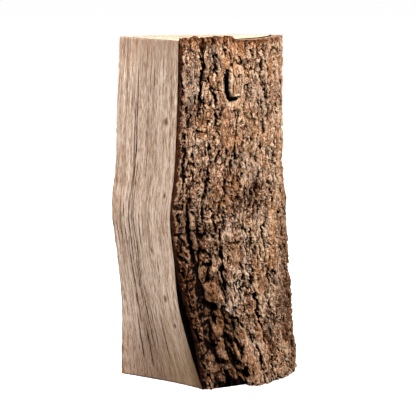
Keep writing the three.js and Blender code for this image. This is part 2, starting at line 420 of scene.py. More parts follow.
def knot_marks(share, height):
    """How near each point of the show face is to the middle of a knot."""
    near = np.zeros(share.shape)
    for place, middle, half_width, half_height in KNOTS:
        off_x = (share - place) * FACE_WIDTH / half_width
        off_y = (height - middle) / half_height
        reach = np.hypot(off_x + 0.4 * swell(off_y, off_x, 41), off_y)
        near = np.maximum(near, 1 - ease(0.2, 1.2, reach))
    return near


def split_relief(share, height, width, cracks, seed, rough):
    """Relief of a split face: long fibre ridges, torn ledges and drying cracks."""
    across = share * width
    relief = rough * 0.55 * weather(across / 9, height / 170, seed, 3)
    relief += rough * 0.5 * terrace(weather(across / 6, height / 120, seed + 5, 3), 3, 9)
    relief += 0.20 * swell(across / 1.5, height / 55, seed + 1)
    relief += 0.13 * swell(across / 0.75, height / 28, seed + 2)
    relief += 0.08 * swell(across / 0.5, height / 9, seed + 4)
    crack = cracks_depth(share, height, width, cracks, seed + 9)
    return relief - crack, crack


def settle(relief):
    """Relief dies out at a side's own edges, so that the sides meet."""
    share = np.linspace(0, 1, relief.shape[1])[None]
    return relief * ease(0, SIDE_EDGE, share) * ease(0, SIDE_EDGE, 1 - share)


def round_the_wall(show, arc, back):
    """One grid from those of the three sides, each of which ends where the next begins."""
    return np.concatenate([show[:, :-1], arc[:, :-1], back[:, :-1]], 1)


def wood_wall(height):
    """The wood's wall, a row of points to each height, with its marks, its arc and the tree's heart."""
    rows = len(height)
    show, show_out = side_grid(sides["show"], SHOW_COLUMNS, rows)
    arc, arc_out = side_grid(sides["arc"], ARC_COLUMNS, rows)
    back, back_out = side_grid(sides["back"], BACK_COLUMNS, rows)

    fan = 1 - ease(0, FAN_HEIGHT, height)
    show_share = np.linspace(0, 1, SHOW_COLUMNS + 1)[None] ** (1 + FAN * fan)
    arc_share = np.linspace(0, 1, ARC_COLUMNS + 1)[None] + 0 * height
    back_share = np.linspace(0, 1, BACK_COLUMNS + 1)[None] + 0 * height
    show_relief, show_crack = split_relief(show_share, height, FACE_WIDTH, SHOW_CRACKS, 11, SHOW_ROUGH)
    back_relief, back_crack = split_relief(back_share, height, BACK_WIDTH, BACK_CRACKS, 61, BACK_ROUGH)
    knot = knot_marks(show_share, height)
    arc_relief = 0.12 * weather(arc_share * 24, height / 40, 91, 3) - 0.12
    show = show + show_out * settle(show_relief - KNOT_DEPTH * knot)[..., None]
    arc = arc + arc_out * settle(arc_relief)[..., None]
    back = back + back_out * settle(back_relief)[..., None]

    wall = round_the_wall(show, arc, back)
    wall[:, 0, 0] += TIP_WEAR * weather(height[:, 0] / 9, 0 * height[:, 0], 31, 3)
    heart = arc[:, -1] * HEART_SHARE + show[:, 0] * (1 - HEART_SHARE) + np.array([0, PITH_BEHIND])

    blank_show, blank_arc, blank_back = 0 * show_share, 0 * arc_share, 0 * back_share
    column = np.arange(FRAY_COLUMNS)[None]
    ragged = height / FRAY_HEIGHT + column / FRAY_COLUMNS + 0.3 * swell(column / 3, height / 3, 43)
    fray = np.zeros(wall.shape[:2])
    fray[:, :FRAY_COLUMNS] = 1 - ease(0.6, 1.1, ragged)
    marks = {
        "crack": round_the_wall(show_crack, blank_arc, back_crack),
        "under": round_the_wall(blank_show, blank_arc + 1, blank_back),
        "grain": round_the_wall(
            FACE_WIDTH * show_share,
            ARC_GRAIN + ARC_WIDTH * arc_share,
            BACK_GRAIN + BACK_WIDTH * back_share,
        ),
        "knot": round_the_wall(knot, blank_arc, blank_back),
        "fray": fray,
        "sawn": np.zeros(wall.shape[:2]),
        "ring": np.stack([growth_rings(*level)[0] for level in zip(wall, arc, heart)]),
    }
    return wall, marks, arc, heart


def growth_rings(places, arc, heart):
    """Each place's distance from the tree's heart, 1 at the bark, and its bearing from there."""
    offset, to_bark = places - heart, arc - heart
    bearing = np.arctan2(offset[:, 1], offset[:, 0])
    full = np.interp(bearing, np.arctan2(*to_bark.T[::-1]), np.linalg.norm(to_bark, axis=-1))
    return np.hypot(*offset.T) / full, bearing


def cut_checks(ring, bearing):
    """How deep the drying checks are at each point of a sawn end, from 0 to 1."""
    check = np.zeros(len(ring))
    for number, (angle, inner, outer) in enumerate(CHECKS):
        wander = 0.05 * swell(ring * 6, 0 * ring, 80 + number)
        gap = np.abs(bearing - angle - wander) * ring * CHECK_SCALE
        along = ease(0, 0.2, ring - inner) * ease(0, 0.12, outer - ring)
        check = np.maximum(check, along * (1 - ease(0.2, 1.0, gap)))
    return check


def sawn_end(edge, arc, heart, level, into):
    """A sawn end's points, rings inside its edge and then a hub, with their marks. into is 1 where the
    wood lies above the end and -1 where it lies below."""
    middle = edge.mean(0)
    share = np.linspace(1, 0, CUT_RINGS + 1)[1:-1, None, None] ** CUT_SPACING
    flat = (middle + (edge[None] - middle) * share).reshape(-1, 2)
    ring, bearing = growth_rings(flat, arc, heart)
    saw = 0.10 * swell(flat[:, 0] / 1.3 + 0.3 * flat[:, 1], flat[:, 1] / 40, 71)
    saw += 0.12 * weather(flat[:, 0] / 12, flat[:, 1] / 12, 72, 3)
    check = cut_checks(ring, bearing)
    sunk = level + into * (np.abs(saw) + CHECK_DEPTH * check)
    points = np.vstack([np.column_stack([flat, sunk]), [*middle, level]])
    hub_ring = growth_rings(middle[None], arc, heart)[0]
    return points, {
        "ring": np.append(ring, hub_ring), "crack": np.append(check, 0), "sawn": np.ones(len(points)),
    }


def build_wood(finish):
    height = np.linspace(0, LENGTH, WOOD_ROWS + 1)[:, None]
    wall, marks, arc, heart = wood_wall(height)
    rows, across = wall.shape[:2]
    numbers = np.arange(rows * across).reshape(rows, across)
    points = [np.dstack([wall, np.broadcast_to(height, (rows, across))]).reshape(-1, 3)]
    faces = [quads(np.concatenate([numbers, numbers[:, :1]], 1))]
    gathered = {mark: [values.ravel()] for mark, values in marks.items()}
    start = rows * across
    for row, level, into in ((rows - 1, LENGTH, -1), (0, 0.0, 1)):
        end_points, end_marks = sawn_end(wall[row], arc[row], heart[row], level, into)
        hub = start + len(end_points) - 1
        end_marks["grain"] = np.append(np.tile(marks["grain"][row], CUT_RINGS - 1), 0)
        for mark, values in gathered.items():
            values.append(end_marks.get(mark, np.zeros(len(end_points))))
        points.append(end_points)
        loop = np.concatenate([numbers[row][None], np.arange(start, hub).reshape(-1, across)])
        loop = np.concatenate([loop, loop[:, :1]], 1)
        hubs = np.full(across, hub)
        spokes = np.stack([loop[-1, :-1], loop[-1, 1:], hubs, hubs], -1)
        end_faces = np.concatenate([quads(loop), spokes])
        faces.append(end_faces if into < 0 else end_faces[:, ::-1])
        start = hub + 1

    # The faces round a hub are triangles, written above with a repeated point.
    corners = [list(dict.fromkeys(face)) for face in np.concatenate(faces).tolist()]
    marks = {mark: np.concatenate(values) for mark, values in gathered.items()}
    points = np.concatenate(points)
    wood = build_piece("split_wood_surface", points, corners, marks, finish, smooth=True)
    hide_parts("split_wood")


# ---- Bark ----------------------------------------------------------------------------------------

def bark_thickness(arc, outward, height):
    """How thick the CAD bark is over each point of the arc, felt from outside and smoothed."""
    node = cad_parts["bark"].data
    corners = [vertex.co for vertex in node.vertices]
    tree = BVHTree.FromPolygons(corners, [tuple(face.vertices) for face in node.polygons])
    rows, columns = 31, 41
    row_pick = np.linspace(0, len(height) - 1, rows).astype(int)
    column_pick = np.linspace(0, arc.shape[1] - 1, columns).astype(int)
    thickness = np.zeros((rows, columns))
    for i, row in enumerate(row_pick):
        level = np.clip(height[row], FOOT_CHUNK + 3, LENGTH - 4)
        for j, column in enumerate(column_pick):
            out = Vector((*outward[row, column], 0))
            start = Vector((*arc[row, column], level)) + out * RAY_START
            hit = tree.ray_cast(start * MM, -out)
            thickness[i, j] = RAY_START - hit[3] / MM if hit[0] else np.nan
    thickness = np.where(np.isfinite(thickness), thickness, np.nanmean(thickness))
    thickness = np.clip(blurred(thickness, 2), THINNEST, THICKEST)
    return resample(resample(thickness, len(height)).T, arc.shape[1]).T


def long_furrows(across, height, side, along):
    """Narrow furrows that wander up the log and die out: what they cut away, and how dark they are."""
    cut_away, furrow = 0, 0
    for seed, pitch, reach, wide, deep in FURROW_RUNS:
        wave = swell(side / pitch, along / reach, seed) + 0.10 * swell(side / 3, along / 8, seed + 30)
        slope = np.hypot(*np.gradient(wave)) / CELL
        gap = np.abs(wave) / np.maximum(slope, 0.02)
        here = ease(-0.05, 0.25, weather(across / 8, height / 12, seed + 60, 4, 0.6))
        cut = (1 - ease(0.2, 1.2, gap / wide)) * here
        cut_away = cut_away + deep * cut
        furrow = np.maximum(furrow, cut * min(1, deep / 3))
    return cut_away, furrow


def scales(side, along, rough):
    """Scales on scales, each leaning its own way: their relief, and a tone for each."""
    relief, tone = 0, 0
    for seed, wide, tall, high, lean in SCALES:
        inside, off_x, off_y, first, second = plates(side / wide, along / tall, seed)
        tilt = (second - 0.5) * 1.6 * off_x - (0.2 + first * 0.8) * off_y
        relief = relief + rough * (high * (first - 0.5) + lean * tilt)
        relief = relief - 0.2 * high * (1 - ease(0, 0.10, inside))
        tone = tone + 0.26 * first
    return relief, tone


def coarse_blocks(across, height, side, along):
    """Coarse broken blocks low down by the front edge: their relief, and the gaps between them."""
    coarse = (1 - ease(20, 44, across)) * (1 - ease(120, 185, height))
    inside, off_x, off_y, first, second = plates(side / BLOCK_WIDTH, along / BLOCK_HEIGHT, 180)
    gap = coarse * (1 - ease(0.05, 0.40, inside))
    relief = coarse * (2.6 * (first - 0.5) - 2.4 * off_y + 1.6 * (second - 0.5) * off_x)
    relief += coarse * 1.1 * weather(across / 1.9, height / 2.3, 181, 2, 0.8)
    return relief - BLOCK_GAP_DEPTH * gap, 0.95 * gap


def placed_relief(relief, furrow, across, height, side, along, ragged):
    """The relief and the furrows, after the furrows, hollows and big flakes that are listed."""
    for place, top, bottom, half_width, depth in FURROWS:
        along_it = ease(0, FURROW_TAPER, top - along) * ease(0, FURROW_TAPER, along - bottom)
        gap = np.abs(side + 2.0 * swell(along / 16, 0 * along + place, 108) - place)
        cut = along_it * (1 - ease(0.35, 1.15, gap / half_width))
        relief = relief - depth * cut
        furrow = np.maximum(furrow, cut)
    for place, middle, half_width, half_height, depth in HOLLOWS:
        off_x, off_y = (across + ragged - place) / half_width, (height - middle) / half_height
        cut = 1 - ease(0.55, 1.1, np.hypot(off_x, off_y))
        relief = relief - depth * cut
        furrow = np.maximum(furrow, 0.7 * cut)
    for place, middle, half_width, half_height, rise in FLAKES:
        off_x = (across + 0.5 * ragged - place) / half_width
        off_y = (height + 0.5 * ragged - middle) / half_height
        on = 1 - ease(0.9, 1.04, squarish(off_x, off_y, 2.6))
        relief = relief * (1 - 0.6 * on) + on * rise * (0.75 - 0.25 * off_y)
        furrow = furrow * (1 - on)
    return relief, furrow


def squarish(off_x, off_y, power):
    """Distance from the middle of an oval with squared corners. The oval's edge is at 1."""
    return (np.abs(off_x) ** power + np.abs(off_y) ** power) ** (1 / power)


def big_plate(relief, furrow, across, height, ragged):
    """The relief and the furrows, with the big loose plate and the dark hollow beside it."""
    place, middle, half_width, half_height, rise = BIG_PLATE
    off_x = (across + 0.5 * ragged - place) / half_width
    off_y = (height + 0.8 * ragged - middle) / half_height
    radius = squarish(off_x, off_y, 3)
    on = 1 - ease(0.92, 1.0, radius)
    shade = ease(0.98, 1.02, radius) * (1 - ease(1.12, 1.45, np.hypot(off_x + 0.24, off_y + 0.16)))
    plate = on * rise * (1 - 0.18 * off_y - 0.12 * off_x**2)
    return relief * (1 - 0.4 * on) + plate - PLATE_SHADE * shade, np.maximum(furrow * (1 - on), shade)


def bark_relief(across, height, worn):
    """The bark's height above its mean surface, how deep in a furrow it is, and each scale's tone."""
    smooth_patch = ease(0.0, 0.35, weather(across / 15, height / 26, 118, 3))
    rough = 1 - 0.6 * worn - 0.4 * smooth_patch * (1 - worn)
    crumble = 0.8 * weather(across / 4, height / 6, 103, 4, 0.6)
    side = across + 2.6 * weather(across / 26, height / 44, 102, 3) + crumble
    along = height + 4 * weather(across / 20, height / 34, 101, 3)
    along = along + 0.9 * weather(across / 4, height / 5, 100, 4, 0.6)
    ragged = 1.2 * weather(across / 7, height / 9, 109, 4, 0.55)

    relief = 1.1 * weather(side / 24, along / 60, 104, 2)
    cut_away, furrow = long_furrows(across, height, side, along)
    relief -= cut_away * rough
    scale_relief, tone = scales(side, along, rough)
    relief += scale_relief
    block_relief, gap = coarse_blocks(across, height, side, along)
    relief += block_relief
    furrow = np.maximum(furrow * rough, gap)
    for seed, wide, tall, step in LAYERS:
        layer = weather(side / wide, along / tall, seed, 5, 0.58) * 2.2
        tread = np.floor(layer)
        relief += step * (0.4 + 0.6 * rough) * (tread + ease(0.0, 0.14, layer - tread))
    relief += 0.6 * rough * weather(across / 2.2, height / 3.6, 160, 3, 0.7)
    crumbs = scatter(np.floor(across / CRUMB_SIZE), np.floor(height / CRUMB_SIZE), 161)
    relief += CRUMB * (2 * crumbs - 1)

    relief, furrow = placed_relief(relief, furrow, across, height, side, along, ragged)
    relief -= SURFACE_DROP
    proud = np.maximum(relief, 0)
    relief = np.where(relief > 0, 1 - np.exp(-proud / PROUD) + 0.12 * proud, relief)
    relief, furrow = big_plate(relief, furrow, across, height, ragged)
    return relief, furrow, tone


def flake_points(dice, middle, normal, wide, tall, thick):
    """A thin ragged plate: pairs of points round its rim, one above and one below, and then a hub."""
    along_arc = Vector((-normal.y, normal.x, 0))
    up = Vector((0, 0, 1))
    lift, swing, roll = dice.uniform(-0.08, 0.2), dice.normal(0, 0.22), dice.normal(0, 0.12)
    side = along_arc * math.cos(swing) + up * math.sin(swing)
    upward = up * math.cos(swing) - along_arc * math.sin(swing)
    half_wide, half_tall = wide * dice.uniform(0.3, 0.75), tall * dice.uniform(0.3, 0.75)
    points = []
    for step in range(FLAKE_CORNERS):
        angle = 2 * math.pi * (step + dice.uniform(-0.3, 0.3)) / FLAKE_CORNERS
        reach = dice.uniform(0.6, 1.1) / max(abs(math.cos(angle)), abs(math.sin(angle))) ** 0.6
        x, y = half_wide * reach * math.cos(angle), half_tall * reach * math.sin(angle)
        spot = middle + side * x + upward * y + normal * (-lift * y + roll * x)
        points += [spot + normal * thick * dice.uniform(0.5, 1.1), spot - normal * thick * 1.4]
    points.append(middle + normal * thick * dice.uniform(0.7, 1.2))
    return points


def add_flakes(surface, out, relief, fields, finish):
    """Small loose flakes on the bark's high places, each lifted at one edge."""
    dice = np.random.default_rng(29)
    rows, columns = relief.shape
    level = np.minimum(blurred(relief, 3), relief + 0.5)
    points, faces = [], []
    marks = {mark: [] for mark in BARK_MARKS}
    for count, wide, tall, thick in FLAKE_SIZES:
        for _ in range(count):
            for _ in range(FLAKE_TRIES):
                row = dice.integers(FLAKE_MARGIN, rows - FLAKE_MARGIN)
                column = dice.integers(FLAKE_MARGIN, columns - 3)
                if relief[row, column] > dice.uniform(-2.5, 0.0):
                    break
            normal = Vector((*out[row, column], 0)).normalized()
            sink = relief[row, column] - level[row, column]
            middle = Vector(surface[row, column]) - normal * (sink - 0.1)
            start = len(points)
            points += flake_points(dice, middle, normal, wide, tall, thick)
            hub = len(points) - 1
            for step in range(FLAKE_CORNERS):
                top, after = start + 2 * step, start + 2 * ((step + 1) % FLAKE_CORNERS)
                faces += [(top, after, hub), (top + 1, after + 1, after, top)]
            own = {
                "tone": 0.75 * fields["tone"][row, column] + 0.3 * dice.random(),
                "damp": 0.9 * fields["damp"][row, column],
                "pale": fields["pale"][row, column],
                "layer": 1,
            }
            for mark in BARK_MARKS:
                marks[mark] += [own.get(mark, 0)] * (2 * FLAKE_CORNERS + 1)
            # Each flake's upper rim gets painted highlight and its underside painted shade, through the
            # cavity mark.
            marks["cavity"][start:] = [0.5, -1.2] * FLAKE_CORNERS + [0.1]
    build_piece("bark_flakes", np.array(points, np.float32), faces, marks, finish)


def patches(zones, across, height, patchy):
    """How strong each point's patch is, for patches with ragged edges."""
    strongest = np.zeros(height.shape)
    for centre, middle, half_width, half_height, strength in zones:
        off_x = (across + 7 * patchy - centre) / half_width
        off_y = (height + 12 * patchy - middle) / half_height
        strongest = np.maximum(strongest, strength * (1 - ease(0.3, 1.25, np.hypot(off_x, off_y))))
    return strongest


def thin_but_whole(thickness):
    """Where furrows would cut nearly through the bark, they get shallower instead."""
    short = np.minimum(thickness - THIN_FROM, 0)
    thinned = THIN_LEAST + (THIN_FROM - THIN_LEAST) * np.exp(short / THIN_FROM)
    return np.where(thickness > THIN_FROM, thickness, thinned)


def foot_and_rim(share):
    """Heights of the bark's ragged foot and of its torn rim, along the arc."""
    chunk_low, chunk_high = FOOT_CHUNK_SPAN
    in_chunk = ease(0, 0.04, share - chunk_low) * ease(0, 0.05, chunk_high - share)
    chunk = FOOT_CHUNK * in_chunk * (0.75 + 0.35 * weather(share * 30, 0 * share, 172, 3))
    foot = FOOT_CLEARANCE + 1.2 * np.abs(weather(share * 40, 0 * share, 171, 3)) + chunk
    torn = 0.7 + 0.5 * weather(share * 26, 0 * share, 173, 4)
    rim = LENGTH - 0.4 + RIM_PROUD * torn * ease(0, 0.04, RIM_END - share)
    return foot, rim


def build_bark(finish):
    rows = BARK_ROWS + 1
    height = np.linspace(0, LENGTH, rows)
    arc, outward = side_grid(sides["arc"], BARK_COLUMNS, rows)
    share = np.linspace(0, 1, BARK_COLUMNS + 1)
    steps = np.linalg.norm(np.diff(arc, axis=1), axis=-1)
    length = np.concatenate([np.zeros((rows, 1)), np.cumsum(steps, 1)], 1)
    thickness = bark_thickness(arc, outward, height)

    loose = ease(0, 1, 1 - np.abs(height - LOOSE_MIDDLE) / LOOSE_HALF)[:, None]
    ragged_edge = RAGGED_EDGE * np.abs(weather(height / 11, 0 * height, 161, 4, 0.6))[:, None]
    setback = SETBACK * loose + ragged_edge
    across = setback + (length[:, -1:] - setback) * share[None]

    def over(field):
        """A field on the arc, moved to where the bark's columns are."""
        return np.stack([np.interp(across[row], length[row], field[row]) for row in range(rows)])

    place = np.stack([over(arc[..., 0]), over(arc[..., 1])], -1)
    out = np.stack([over(outward[..., 0]), over(outward[..., 1])], -1)
    thick = over(thickness)
    foot, rim = foot_and_rim(share)
    real_height = foot[None] + (rim - foot)[None] * np.linspace(0, 1, rows)[:, None]

    patchy = weather(across / 13, real_height / 17, 175, 4)
    damp, pale, worn = (patches(zones, across, real_height, patchy) for zones in (DAMP_AND_SHADE, PALE, WORN))
    relief, furrow, tone = bark_relief(across, real_height, np.maximum(worn, 0.25 * pale))
    from_edge = across - across[:, :1] + 1.6 * weather(real_height / 8, across / 8, 174, 4, 0.6)
    near_edge = ease(INNER_BARK, INNER_BARK + 1.6, from_edge)
    relief = relief * (0.5 + 0.5 * near_edge) - 1.6 * (1 - near_edge)
    near_rim = real_height + 3 * weather(across / 6, real_height / 6, 176, 3)
    hang = PLATE_OVERHANG * (relief - blurred(relief, 12)) * near_edge
    hang *= ease(0, 12, real_height) * ease(0, 12, LENGTH - real_height)
    stand = LIFT * loose * (1 - ease(0, LIFT_REACH, across))

    inner = JOINT + stand
    outer = JOINT + LIFT_OUTSIDE * stand + thin_but_whole(thick + relief)
    layers = np.linspace(0, 1, BARK_LAYERS + 1)
    shells = []
    for layer in layers:
        spot = place + out * (inner + (outer - inner) * layer)[..., None]
        shells.append(np.dstack([spot, real_height - hang * layer]))
    grid = np.stack(shells)  # layer, row, column
    fields = {
        "furrow": furrow, "tone": tone, "damp": damp, "pale": pale, "worn": worn,
        # The cavity and hollow marks carry painted highlight on raised places and painted shade in low
        # ones.
        "cavity": relief - blurred(relief, 2),
        "hollow": ease(0.1, 2.6, blurred(relief, 7) - relief),
        "inner_bark": 1 - near_edge,
        "torn": ease(LENGTH - TORN_DEPTH, LENGTH - 1, near_rim),
        "layer": layers[:, None, None],
        "sawn": np.zeros(grid.shape[:3]),
    }
    fields["sawn"][1:-1, -1] = ease(RIM_END - 0.02, RIM_END + 0.02, share)

    numbers = np.arange(grid[..., 0].size).reshape(grid.shape[:3])
    faces = large_faces(numbers[0].T, INNER_STEP)
    for side in (numbers[-1], numbers[:, :, 0].T, numbers[:, :, -1], numbers[:, 0], numbers[:, -1].T):
        faces += quads(side).tolist()
    add_flakes(grid[-1], out, relief, fields, finish)

    # Points inside the shell belong to no face, and are left out.
    used = np.unique(np.concatenate(faces))
    renumber = np.zeros(numbers.size, int)
    renumber[used] = np.arange(len(used))
    faces = [renumber[face].tolist() for face in faces]
    marks = {mark: np.broadcast_to(fields[mark], grid.shape[:3]).ravel()[used] for mark in BARK_MARKS}
    bark = build_piece("bark_surface", grid.reshape(-1, 3)[used], faces, marks, finish)
    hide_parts("bark")


# ---- Finishes ------------------------------------------------------------------------------------

class Wire:
    """A value in a finish. Arithmetic on wires and numbers adds Math nodes."""

    def __init__(self, finish, socket):
        self.finish = finish
        self.socket = socket

    def maths(self, operation, first, second):
        return self.finish.node("ShaderNodeMath", {"operation": operation}, {0: first, 1: second})

    def __add__(self, other):
        return self.maths("ADD", self, other)

    def __sub__(self, other):
        return self.maths("SUBTRACT", self, other)

    def __rsub__(self, other):
        return self.maths("SUBTRACT", other, self)

    def __mul__(self, other):
        return self.maths("MULTIPLY", self, other)

    __radd__ = __add__
    __rmul__ = __mul__


class Finish:
    """A material under construction."""

    def __init__(self, name):
        self.material = bpy.data.materials.new(name)
        self.material.use_nodes = True
        self.tree = self.material.node_tree
        self.tree.nodes.clear()

    def node(self, kind, settings, inputs, output=0):
        """Adds a node, sets it up, fills its sockets and returns one of its outputs."""
        made = self.tree.nodes.new(kind)
        for name, value in settings.items():
            if name == "stops":
                self.set_stops(made.color_ramp.elements, value)
            else:
                setattr(made, name, value)
        for name, value in inputs.items():
            if isinstance(value, Wire):
                self.tree.links.new(value.socket, made.inputs[name])
            else:
                made.inputs[name].default_value = value
        return Wire(self, made.outputs[output]) if made.outputs else None

    def set_stops(self, elements, stops):
        """Sets a ramp's stops, each a place from 0 to 1 and a colour."""
        while len(elements) < len(stops):
            elements.new(1)
        for element, (place, colour) in zip(elements, stops):
            element.position = place
            element.color = colour

    def mark(self, name):
        """One of the marks on the mesh's points."""
        return self.node("ShaderNodeAttribute", {"attribute_name": name}, {}, "Fac")

    def clamp(self, value, low, high):
        """0 where value is at low or below, 1 at high or above, smooth between."""
        return self.node("ShaderNodeMapRange", {"interpolation_type": "SMOOTHSTEP"},
                         {"Value": value, "From Min": low, "From Max": high})

    def ramp(self, value, stops):
        return self.node("ShaderNodeValToRGB", {"stops": stops}, {"Fac": value})

    def mix(self, share, first, second):
        """The first colour where share is 0, the second where it is 1."""
        return self.node("ShaderNodeMix", {"data_type": "RGBA"}, {0: share, 6: first, 7: second}, 2)

    def place(self):
        """Object coordinates."""
        return self.node("ShaderNodeTexCoord", {}, {}, "Object")

    def noise(self, scale, detail=4, rough=0.5, stretch=(1, 1, 1)):
        """Noise with so many swells to a metre, drawn out where stretch is below 1."""
        where = self.node("ShaderNodeMapping", {}, {"Vector": self.place(), "Scale": stretch})
        return self.noise_at(where, scale, detail, rough)

    def noise_at(self, where, scale, detail, rough):
        return self.node("ShaderNodeTexNoise", {}, {
            "Vector": where, "Scale": scale, "Detail": detail, "Roughness": rough}, "Fac")

    def finish(self, colour, roughness, height, distance, shine):
        normal = self.node("ShaderNodeBump", {}, {
            "Height": height, "Distance": distance, "Strength": 1.0})
        surface = self.node("ShaderNodeBsdfPrincipled", {}, {
            "Base Color": colour, "Roughness": roughness, "Normal": normal,
            "Specular IOR Level": shine})
        self.node("ShaderNodeOutputMaterial", {}, {"Surface": surface})
        return self.material


def tint(red, green, blue):
    """A colour given in screen values from 0 to 255."""
    def linear(value):
        value = value / 255
        return value / 12.92 if value <= 0.04045 else ((value + 0.055) / 1.055) ** 2.4
    return (linear(red), linear(green), linear(blue), 1)


def split_wood_finish():
    wood = Finish("split_wood_finish")
    ring = wood.mark("ring")
    grain = wood.mark("grain")
    height = wood.node("ShaderNodeSeparateXYZ", {}, {"Vector": wood.place()}, "Z")

    def along_grain(across, along, detail=3, rough=0.6):
        """Noise drawn out along the grain: so many streaks to a millimetre across, to a metre along."""
        where = wood.node("ShaderNodeCombineXYZ", {}, {
            "X": grain * across, "Y": height * along, "Z": 3 * ring})
        return wood.noise_at(where, 1.0, detail, rough)

    def grain_lines(across, along, width):
        """Thin dark lines along the grain, each as wide as that share of their spacing."""
        wave = along_grain(across, along, 3, 0.45)
        off_line = wood.node("ShaderNodeMath", {"operation": "ABSOLUTE"}, {0: wave - 0.5})
        return 1 - wood.clamp(off_line, 0.0, width)

    # The split faces, and the wood's outside.
    fibre = along_grain(1.5, 46, 3, 0.65)
    fine_fibre = along_grain(3.0, 150, 3, 0.7)
    streak = along_grain(0.40, 9)
    band = along_grain(0.12, 5, 2)
    blotch = wood.noise(30, 3, 0.5, (1, 1, 0.3))
    tone = fibre * 1.2 + fine_fibre * 2.1 + streak * 0.45 + band * 0.5 - 1.60
    face = wood.ramp(tone, [
        (0.24, tint(134, 102, 80)), (0.40, tint(176, 145, 121)), (0.52, tint(202, 175, 153)),
        (0.64, tint(218, 194, 174)), (0.80, tint(232, 211, 194)),
    ])
    long_lines = grain_lines(0.36, 5, 0.022) * wood.clamp(along_grain(0.25, 12, 2), 0.46, 0.6)
    short_lines = grain_lines(0.85, 20, 0.035) * wood.clamp(along_grain(0.6, 34, 2), 0.44, 0.56)
    face = wood.mix(short_lines * 0.7, face, tint(124, 90, 66))
    face = wood.mix(long_lines * 0.85, face, tint(92, 62, 43))
    fleck = 1 - wood.clamp(along_grain(1.9, 120, 2), 0.28, 0.35)
    face = wood.mix(fleck * 0.6, face, tint(104, 72, 50))
    # Darker towards the foot: partly damp, partly painted shade for light falling off down the log.
    foot = 1 - wood.clamp(height + (blotch - 0.5) * 0.09, -0.02, 0.09)
    foot_colour = wood.mix(wood.clamp(grain, 20, 60), tint(112, 75, 50), tint(146, 111, 70))
    face = wood.mix(foot * 0.7, face, foot_colour)
    # Darker towards the top of the face: painted shade.
    head = wood.clamp(height + (blotch - 0.5) * 0.05, 0.262, 0.31)
    face = wood.mix(head * 0.6, face, tint(150, 118, 96))
    # Darker on the face by the front corner, low down: painted shade beside the crevice.
    face = wood.mix(wood.clamp(grain, 58, 76) * foot * 0.8, face, tint(86, 60, 34))
    face = wood.mix(wood.clamp(wood.mark("knot"), 0.1, 0.9) * 0.85, face, tint(96, 66, 46))
    fray_colour = wood.mix(wood.clamp(fine_fibre, 0.45, 0.55), tint(96, 54, 26), tint(196, 134, 84))
    face = wood.mix(wood.mark("fray") * 0.9, face, fray_colour)

    # The sawn ends.
    ring_place = wood.node("ShaderNodeMath", {"operation": "FRACT"}, {0: ring * 19 + blotch * 0.7})
    late = wood.clamp(ring_place, 0.5, 0.97)
    saw = wood.noise(620, 3, 0.5, (1, 0.08, 1))
    cut_tone = late * 0.5 + wood.noise(520, 3) * 0.35 + blotch * 0.35 + saw * 0.3
    cut = wood.ramp(cut_tone, [
        (0.35, tint(232, 214, 190)), (0.6, tint(218, 194, 163)), (0.95, tint(142, 99, 63)),
    ])
    heart = 1 - wood.clamp(ring + (blotch - 0.5) * 0.08, 0.50, 0.58)
    cut = wood.mix(heart * 0.4, cut, tint(184, 134, 92))
    rim = wood.clamp(ring, 0.955, 0.985)
    cut = wood.mix(rim * 0.7, cut, tint(150, 96, 54))

    colour = wood.mix(wood.clamp(wood.mark("sawn"), 0.2, 0.8), face, cut)
    # The wood under the bark is painted near black: painted shade in the crevice between bark and wood.
    colour = wood.mix(wood.clamp(wood.mark("under"), 0.3, 0.7), colour, tint(12, 6, 3))
    colour = wood.mix(wood.clamp(wood.mark("crack"), 0.1, 0.8) * 0.95, colour, tint(88, 52, 32))
    roughness = 0.8 + (0.5 - fibre) * 0.3
    height_of_grain = fibre * 0.5 + fine_fibre * 0.5 + streak * 0.5
    return wood.finish(colour, roughness, height_of_grain, 0.0012, 0.05)


